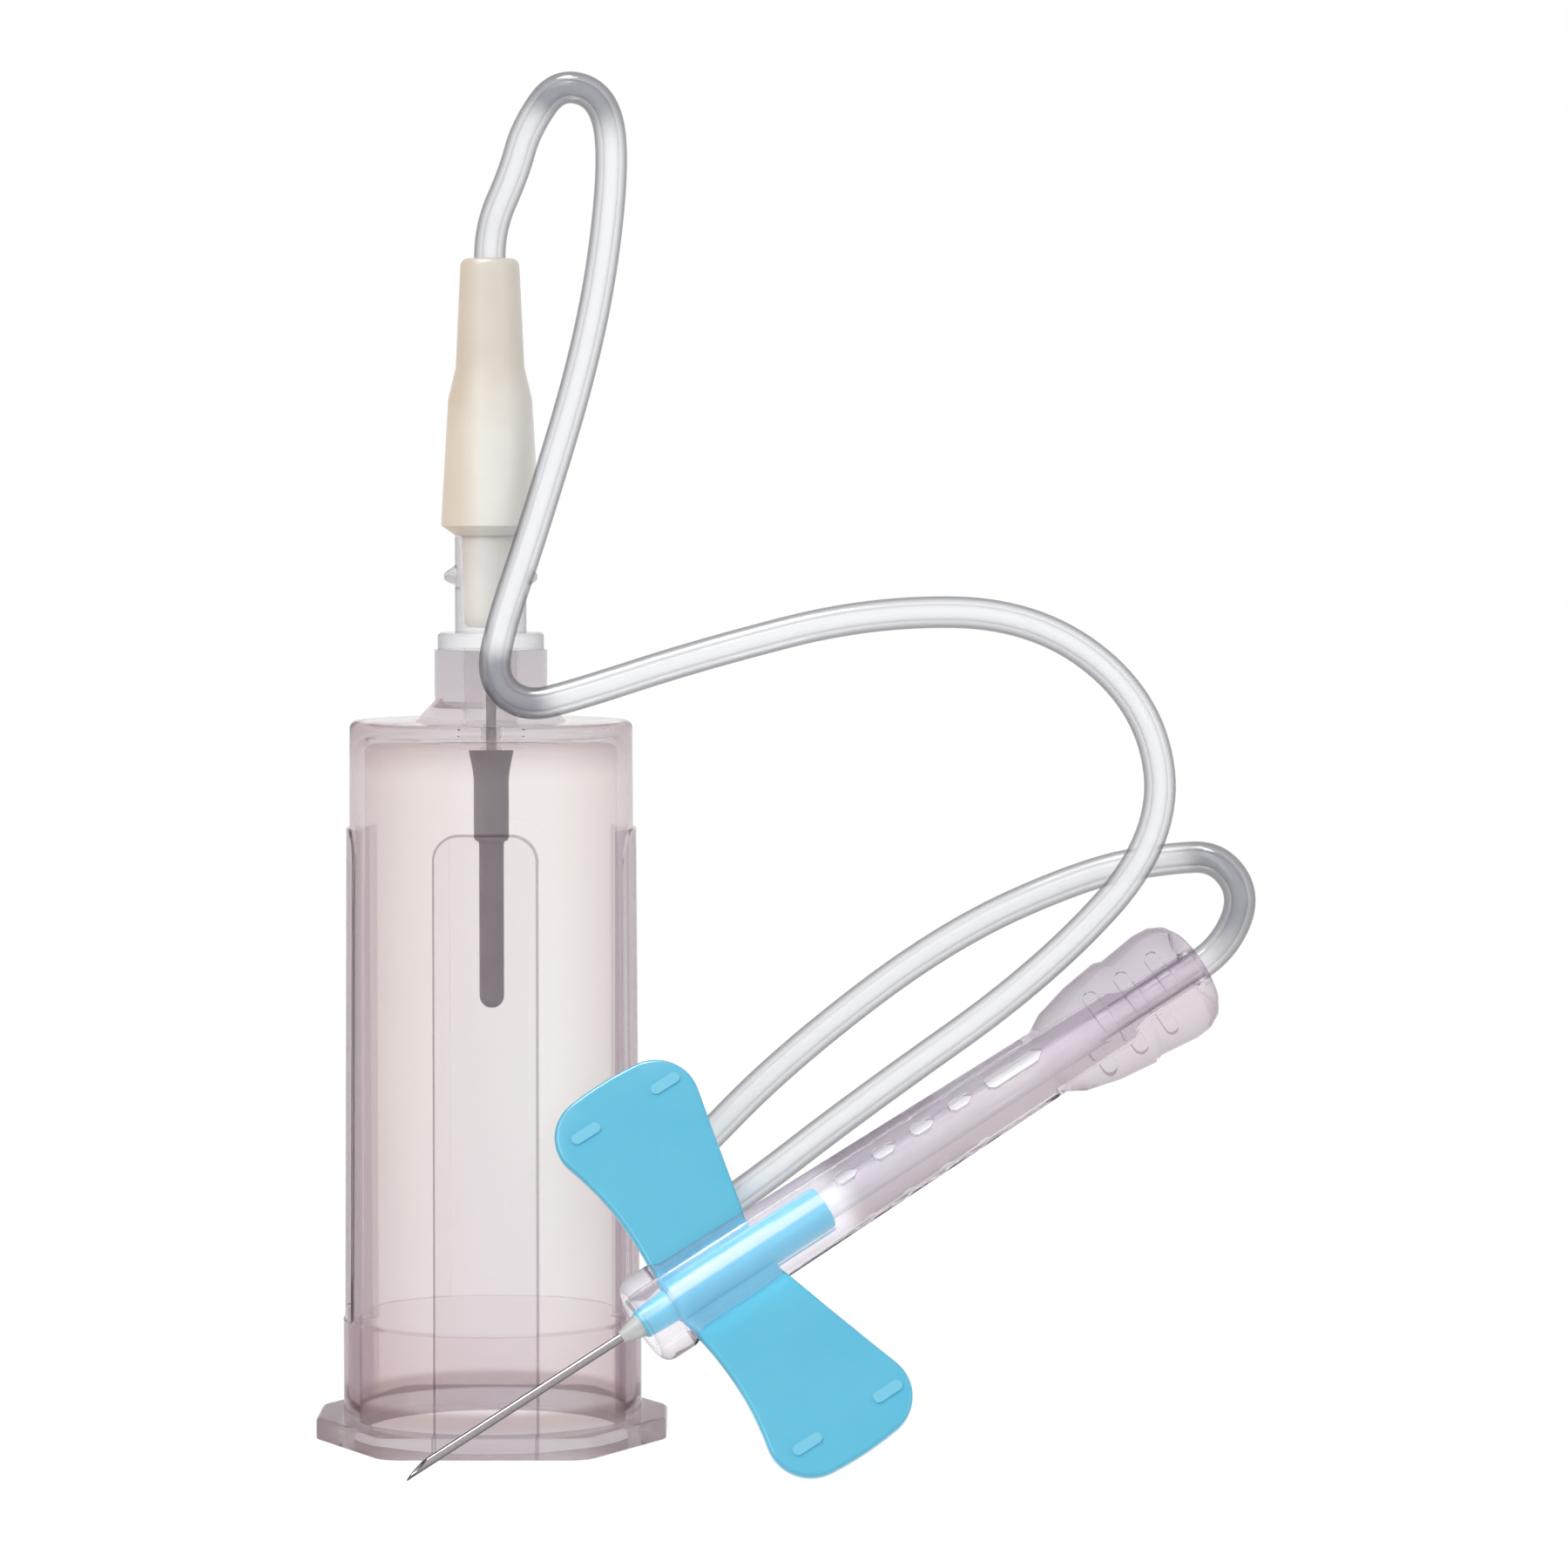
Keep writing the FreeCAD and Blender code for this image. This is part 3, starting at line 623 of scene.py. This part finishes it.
# distance outside a panel's rounded outline, negative inside: the sides' and top's distances,
# rounded off at the corners
def panelDistance(tree, across, height, v):
    inner = mathNode(tree, "SUBTRACT", across, v["panelHalf"] - v["panelCorner"])
    upper = mathNode(tree, "SUBTRACT", height, v["panelTop"] - v["panelCorner"])
    sideOut = mathNode(tree, "MAXIMUM", inner, 0.0)
    topOut = mathNode(tree, "MAXIMUM", upper, 0.0)
    sideSquare = mathNode(tree, "MULTIPLY", sideOut, sideOut)
    topSquare = mathNode(tree, "MULTIPLY", topOut, topOut)
    corner = mathNode(tree, "SQRT", mathNode(tree, "ADD", sideSquare, topSquare))
    within = mathNode(tree, "MINIMUM", mathNode(tree, "MAXIMUM", inner, upper), 0.0)
    return mathNode(tree, "SUBTRACT", mathNode(tree, "ADD", corner, within), v["panelCorner"])


# the front panel is thicker wall with a fine line of painted shade round its edge, the side panels
# get painted shade where they are seen edge on, the rim of the mouth gets painted shade, the left is
# a little darker with painted shade, and the foot and the boss are thicker still
def holderTintsAndShade(tree):
    v = holderPlastic
    place = tree.nodes.new("ShaderNodeTexCoord")
    split = tree.nodes.new("ShaderNodeSeparateXYZ")
    tree.links.new(place.outputs["Object"], split.inputs[0])
    x, y, z = (split.outputs[name] for name in "XYZ")
    across = mathNode(tree, "ABSOLUTE", x)
    away = panelDistance(tree, across, z, v)
    behind = mathNode(tree, "GREATER_THAN", y, 0.0)
    share = tree.nodes.new("ShaderNodeMapRange")
    share.inputs["From Min"].default_value = -2 * v["panelLine"]
    share.inputs["From Max"].default_value = 2 * v["panelLine"]
    tree.links.new(mathNode(tree, "ADD", away, behind), share.inputs["Value"])
    front = rampNode(tree, share.outputs["Result"], [
        (0.0, v["frontColour"]), (0.25, v["frontColour"]), (0.38, v["paintedLineColour"]),
        (0.60, v["paintedLineColour"]), (0.75, (1, 1, 1)),
    ])
    # painted shade on the side panels
    edge = mathNode(tree, "GREATER_THAN", across, v["sideFrom"])
    below = mathNode(tree, "LESS_THAN", z, v["panelTop"])
    aboveFoot = mathNode(tree, "GREATER_THAN", z, v["panelCorner"])
    onSide = mathNode(tree, "MULTIPLY", mathNode(tree, "MULTIPLY", edge, below), aboveFoot)
    sides = rampNode(tree, onSide, [(0.0, (1, 1, 1)), (1.0, v["sideShadeColour"])])
    upright = alongTint(tree, (0, 0, 1), 0.0, v["height"], v["uprightColours"])
    # the boss's bore has no colour of its own, so the adapter's stub shows light inside it
    core = blended(tree, outsideRadius(tree, v["coreRadius"]), (1, 1, 1), upright)
    leftRight = alongTint(tree, (1, 0, 0), -v["halfWidth"], v["halfWidth"], v["acrossColours"])
    return [front.outputs["Color"], sides.outputs["Color"], core, leftRight]


# clearest over the hub, lilac-grey behind it, and greyer on its upper side with painted shade
def shieldTintsAndShade(tree):
    v = shieldPlastic
    return [
        setTint(tree, "along", v["hubEnd"], v["rear"], v["rearColours"]),
        setTint(tree, "across", -v["halfWidth"], v["halfWidth"], v["upperShadeColours"]),
    ]


# The alpha and the glow stand for the light that a clear wall passes on from behind
tubingVinyl = {
    "facing": [
        (0.0, srgb(253, 254, 255)), (0.14, srgb(250, 251, 253)), (0.30, srgb(214, 215, 220)),
        (0.50, srgb(134, 133, 138)), (0.72, srgb(62, 60, 64)), (1.0, srgb(30, 28, 32)),
    ],
    # painted shade: grey in tight bends and on the side away from the key light
    "bendShadeColour": srgb(168, 168, 175),
    "shadedSideColour": srgb(222, 221, 224),
    "shelteredColour": srgb(250, 251, 253),
    "roughness": 0.10,
    "alpha": 0.55,
    "glow": 0.16,
}


# vinyl tube as pale see-through films with painted shade: white down its middle, grey at its sides,
# in tight bends and on the side away from the key light
def tubingMaterial():
    v = tubingVinyl
    material, tree, shader = newMaterial("tubing_vinyl")
    setValues(shader, {
        "Roughness": v["roughness"], "IOR": 1.5, "Alpha": v["alpha"], "Emission Strength": v["glow"],
    })

    def carried(name):
        node = tree.nodes.new("ShaderNodeAttribute")
        node.attribute_name = name
        return node.outputs["Fac"]

    bend = rampNode(tree, carried("bend"), [(0.0, (1, 1, 1)), (1.0, v["bendShadeColour"])])
    side = rampNode(tree, carried("side"), [(0.0, (1, 1, 1)), (1.0, v["shadedSideColour"])])
    inTheOpen = multiplied(tree, [paintedEdgeShade(tree, v), bend.outputs["Color"], side.outputs["Color"]])
    colour = blended(tree, carried("sheltered"), inTheOpen, v["shelteredColour"])
    tree.links.new(colour, shader.inputs["Base Color"])
    tree.links.new(colour, shader.inputs["Emission Color"])
    return material


# Painted shade makes the left side warmer and darker; the upper stem is darker too
ivory = {
    "cloud": 220.0,
    "cloudDetail": 3.0,
    "cloudColours": (srgb(247, 243, 236), srgb(253, 250, 245)),
    "halfWidth": 3.6 * mm,
    "leftShadeColours": [
        (0.0, srgb(228, 214, 197)), (0.22, srgb(240, 229, 216)), (0.42, srgb(255, 254, 252)),
        (1.0, srgb(255, 255, 255)),
    ],
    "stemHeights": (64 * mm, 86 * mm),
    "stemColours": [
        (0.0, srgb(255, 255, 255)), (0.42, srgb(253, 252, 250)), (0.62, srgb(240, 236, 231)),
        (1.0, srgb(236, 232, 226)),
    ],
    "roughness": 0.38,
    "within": 0.25,  # share of the light that scatters inside
    "withinReach": 1.2 * mm,
    "withinColours": (1.0, 0.75, 0.5),
    "grain": 2600.0,
    "bump": 0.08,
}


# cloudy ivory times the painted shade of its left side and the darker colours of its stem
def ivoryPlastic():
    v = ivory
    material, tree, shader = newMaterial("ivory_plastic")
    leftShade = alongTint(tree, (1, 0, 0), -v["halfWidth"], v["halfWidth"], v["leftShadeColours"])
    stem = alongTint(tree, (0, 0, 1), *v["stemHeights"], v["stemColours"])
    colour = multiplied(tree, [cloudRamp(tree, v), leftShade, stem])
    tree.links.new(colour, shader.inputs["Base Color"])
    setValues(shader, {
        "Roughness": v["roughness"], "IOR": 1.46, "Subsurface Weight": v["within"],
        "Subsurface Scale": v["withinReach"], "Subsurface Radius": v["withinColours"],
    })
    bumpFrom(tree, shader, noiseNode(tree, v["grain"], 2.0).outputs["Fac"], v["bump"], fineDepth)
    return material


greyRubber = {
    "cloud": 500.0,
    "cloudDetail": 4.0,
    "cloudColours": (srgb(88, 80, 88), srgb(104, 95, 102)),
    "roughness": 0.6,
    "grain": 3000.0,
    "bump": 0.15,
    "bumpDepth": 0.03 * mm,
}


# matt cloudy grey with a fine powdery grain
def sleeveRubber():
    v = greyRubber
    material, tree, shader = newMaterial("sleeve_rubber")
    tree.links.new(cloudRamp(tree, v), shader.inputs["Base Color"])
    setValues(shader, {"Roughness": v["roughness"]})
    bumpFrom(tree, shader, noiseNode(tree, v["grain"], 2.0).outputs["Fac"], v["bump"], v["bumpDepth"])
    return material


drawnSteel = {
    "cloud": 5200.0,
    "cloudDetail": 2.0,
    "cloudColours": (srgb(236, 232, 233), srgb(255, 252, 252)),
    "facing": [
        (0.0, srgb(172, 168, 170)), (0.35, srgb(140, 136, 139)), (0.6, srgb(60, 56, 60)),
        (1.0, srgb(40, 36, 40)),
    ],
    "roughness": 0.2,
}


# drawn steel with painted reflection: its colour is bright along its crest and dark at its sides, as
# a white room with a dark lens would show in it
def needleSteel():
    v = drawnSteel
    material, tree, shader = newMaterial("needle_steel")
    colour = multiplied(tree, [cloudRamp(tree, v), paintedEdgeShade(tree, v)])
    tree.links.new(colour, shader.inputs["Base Color"])
    setValues(shader, {"Metallic": 1.0, "Roughness": v["roughness"]})
    return material


black, white = (0, 0, 0), (1, 1, 1)
wingBlue = {
    "cloud": 160.0,
    "cloudDetail": 3.0,
    "cloudColours": (srgb(78, 194, 228), srgb(86, 200, 232)),
    # painted highlight: the raised grip marks are paler
    "markHighlightColour": srgb(116, 210, 238),
    "markDepths": (0.50 * mm, 0.60 * mm),  # the marks' fronts lie farther out than the wings'
    "tubeHalf": 3 * mm,  # no marks this near the tube
    "tubeStops": [(0.0, white), (0.08, black), (0.92, black), (1.0, white)],
    # painted highlight: a pale line along the front of the tube
    "paintedLineColour": srgb(214, 242, 250),
    "highlightHalf": 1.5 * mm,
    "highlightStops": [(0.38, black), (0.46, white), (0.62, white), (0.71, black)],
    "highlightDepths": (1.0 * mm, 1.3 * mm),
    "highlightShare": (0.8, 0.8, 0.8),
    "roughness": 0.36,
    "within": 0.2,
    "withinReach": 0.8 * mm,
    "withinColours": (0.3, 0.8, 1.0),
    "coat": 0.8,
    "coatRoughness": 0.14,
    "grain": 1800.0,
    "bump": 0.06,
}


# blue, with painted highlight: paler on the raised grip marks, and a pale line painted along the
# tube's front where light gathers
def wingPlastic():
    v = wingBlue
    material, tree, shader = newMaterial("wing_plastic")
    proud = setTint(tree, "outward", *v["markDepths"], [(0.0, black), (1.0, white)])
    aside = setTint(tree, "across", -v["tubeHalf"], v["tubeHalf"], v["tubeStops"])
    marked = blended(tree, multiplied(tree, [proud, aside]), cloudRamp(tree, v), v["markHighlightColour"])
    line = setTint(tree, "across", -v["highlightHalf"], v["highlightHalf"], v["highlightStops"])
    front = setTint(tree, "outward", *v["highlightDepths"], [(0.0, black), (1.0, v["highlightShare"])])
    highlighted = blended(tree, multiplied(tree, [line, front]), marked, v["paintedLineColour"])
    tree.links.new(highlighted, shader.inputs["Base Color"])
    setValues(shader, {
        "Roughness": v["roughness"], "IOR": 1.5, "Subsurface Weight": v["within"],
        "Subsurface Scale": v["withinReach"], "Subsurface Radius": v["withinColours"],
        "Coat Weight": v["coat"], "Coat Roughness": v["coatRoughness"],
    })
    bumpFrom(tree, shader, noiseNode(tree, v["grain"], 2.0).outputs["Fac"], v["bump"], fineDepth)
    return material


steel = needleSteel()
dress("tube_holder", clearPlastic("holder_plastic", holderPlastic, holderTintsAndShade))
dress("cone_adapter", clearPlastic("adapter_plastic", adapterPlastic))
dress("rear_cannula", steel)
dress("tubing_connector", ivoryPlastic())
dress("wing_body", wingPlastic())
dress("needle_hub", clearPlastic("hub_plastic", hubPlastic))
dress("patient_needle", steel)
dress("safety_shield", clearPlastic("shield_plastic", shieldPlastic, shieldTintsAndShade))
tubingPiece.data.materials.append(tubingMaterial())
sleevePiece.data.materials.append(sleeveRubber())
print("finishes done")


# 1 where the ray comes from the camera, from gloss or through clear plastic
def seenRay(tree):
    light = tree.nodes.new("ShaderNodeLightPath").outputs
    direct = mathNode(tree, "MAXIMUM", light["Is Camera Ray"], light["Is Glossy Ray"])
    return mathNode(tree, "MAXIMUM", direct, light["Is Transmission Ray"])


# plain white in sight, and weaker as light on matt surfaces
def makeWorld():
    world = bpy.data.worlds.new("white_room")
    bpy.context.scene.world = world
    world.use_nodes = True
    tree = world.node_tree
    tree.nodes.clear()
    output = tree.nodes.new("ShaderNodeOutputWorld")
    seen = tree.nodes.new("ShaderNodeBackground")
    seen.inputs["Strength"].default_value = studio["backdrop"]
    lights = tree.nodes.new("ShaderNodeBackground")
    lights.inputs["Strength"].default_value = studio["skyForLight"]
    mix = tree.nodes.new("ShaderNodeMixShader")
    for node in (seen, lights):
        node.inputs["Color"].default_value = (1, 1, 1, 1)
    tree.links.new(seenRay(tree), mix.inputs[0])
    tree.links.new(lights.outputs[0], mix.inputs[1])
    tree.links.new(seen.outputs[0], mix.inputs[2])
    tree.links.new(mix.outputs[0], output.inputs["Surface"])


# a matt white sheet for light; in sight it is clear over the white room with a trace of shade on
# it, so that a pose that reaches below the table top still shows whole
def makeFloor():
    half = studio["floorSize"] / 2
    corners = [(-half, -half, 0), (half, -half, 0), (half, half, 0), (-half, half, 0)]
    mesh = bpy.data.meshes.new("floor")
    mesh.from_pydata(corners, [], [(0, 1, 2, 3)])
    floor = newObject("floor", mesh)
    material = bpy.data.materials.new("floor_white")
    material.use_nodes = True
    tree = material.node_tree
    tree.nodes.clear()
    output = tree.nodes.new("ShaderNodeOutputMaterial")
    matt = tree.nodes.new("ShaderNodeBsdfDiffuse")
    matt.inputs["Color"].default_value = (studio["floorWhite"],) * 3 + (1,)
    clear = tree.nodes.new("ShaderNodeBsdfTransparent")
    glow = tree.nodes.new("ShaderNodeEmission")
    glow.inputs["Strength"].default_value = studio["floorGlow"]
    sheet = tree.nodes.new("ShaderNodeAddShader")
    tree.links.new(clear.outputs[0], sheet.inputs[0])
    tree.links.new(glow.outputs[0], sheet.inputs[1])
    blend = tree.nodes.new("ShaderNodeMixShader")
    blend.inputs[0].default_value = studio["floorShadow"]
    choose = tree.nodes.new("ShaderNodeMixShader")
    tree.links.new(sheet.outputs[0], blend.inputs[1])
    tree.links.new(matt.outputs[0], blend.inputs[2])
    tree.links.new(seenRay(tree), choose.inputs[0])
    tree.links.new(matt.outputs[0], choose.inputs[1])
    tree.links.new(blend.outputs[0], choose.inputs[2])
    tree.links.new(choose.outputs[0], output.inputs["Surface"])
    mesh.materials.append(material)


# a rectangular lamp turned to face the middle: yaw about the upright axis, then pitch
def softbox(name, lamp):
    data = bpy.data.lights.new(name, "AREA")
    data.shape = "RECTANGLE"
    data.size, data.size_y = lamp["size"]
    data.energy = lamp["power"]
    box = bpy.data.objects.new(name, data)
    box.location = lamp["place"]
    box.visible_diffuse = lamp["matt"]
    reach = np.array(studio["middle"]) - np.array(lamp["place"])
    yaw = math.atan2(-reach[0], reach[1])
    pitch = math.atan2(reach[2], math.hypot(reach[0], reach[1])) + math.pi / 2
    box.rotation_euler = (pitch, 0, yaw)
    bpy.context.scene.collection.objects.link(box)


makeWorld()
makeFloor()
for name, lamp in studio["lamps"].items():
    softbox(name, lamp)
bpy.context.scene.view_settings.view_transform = "Standard"
print("studio lit")
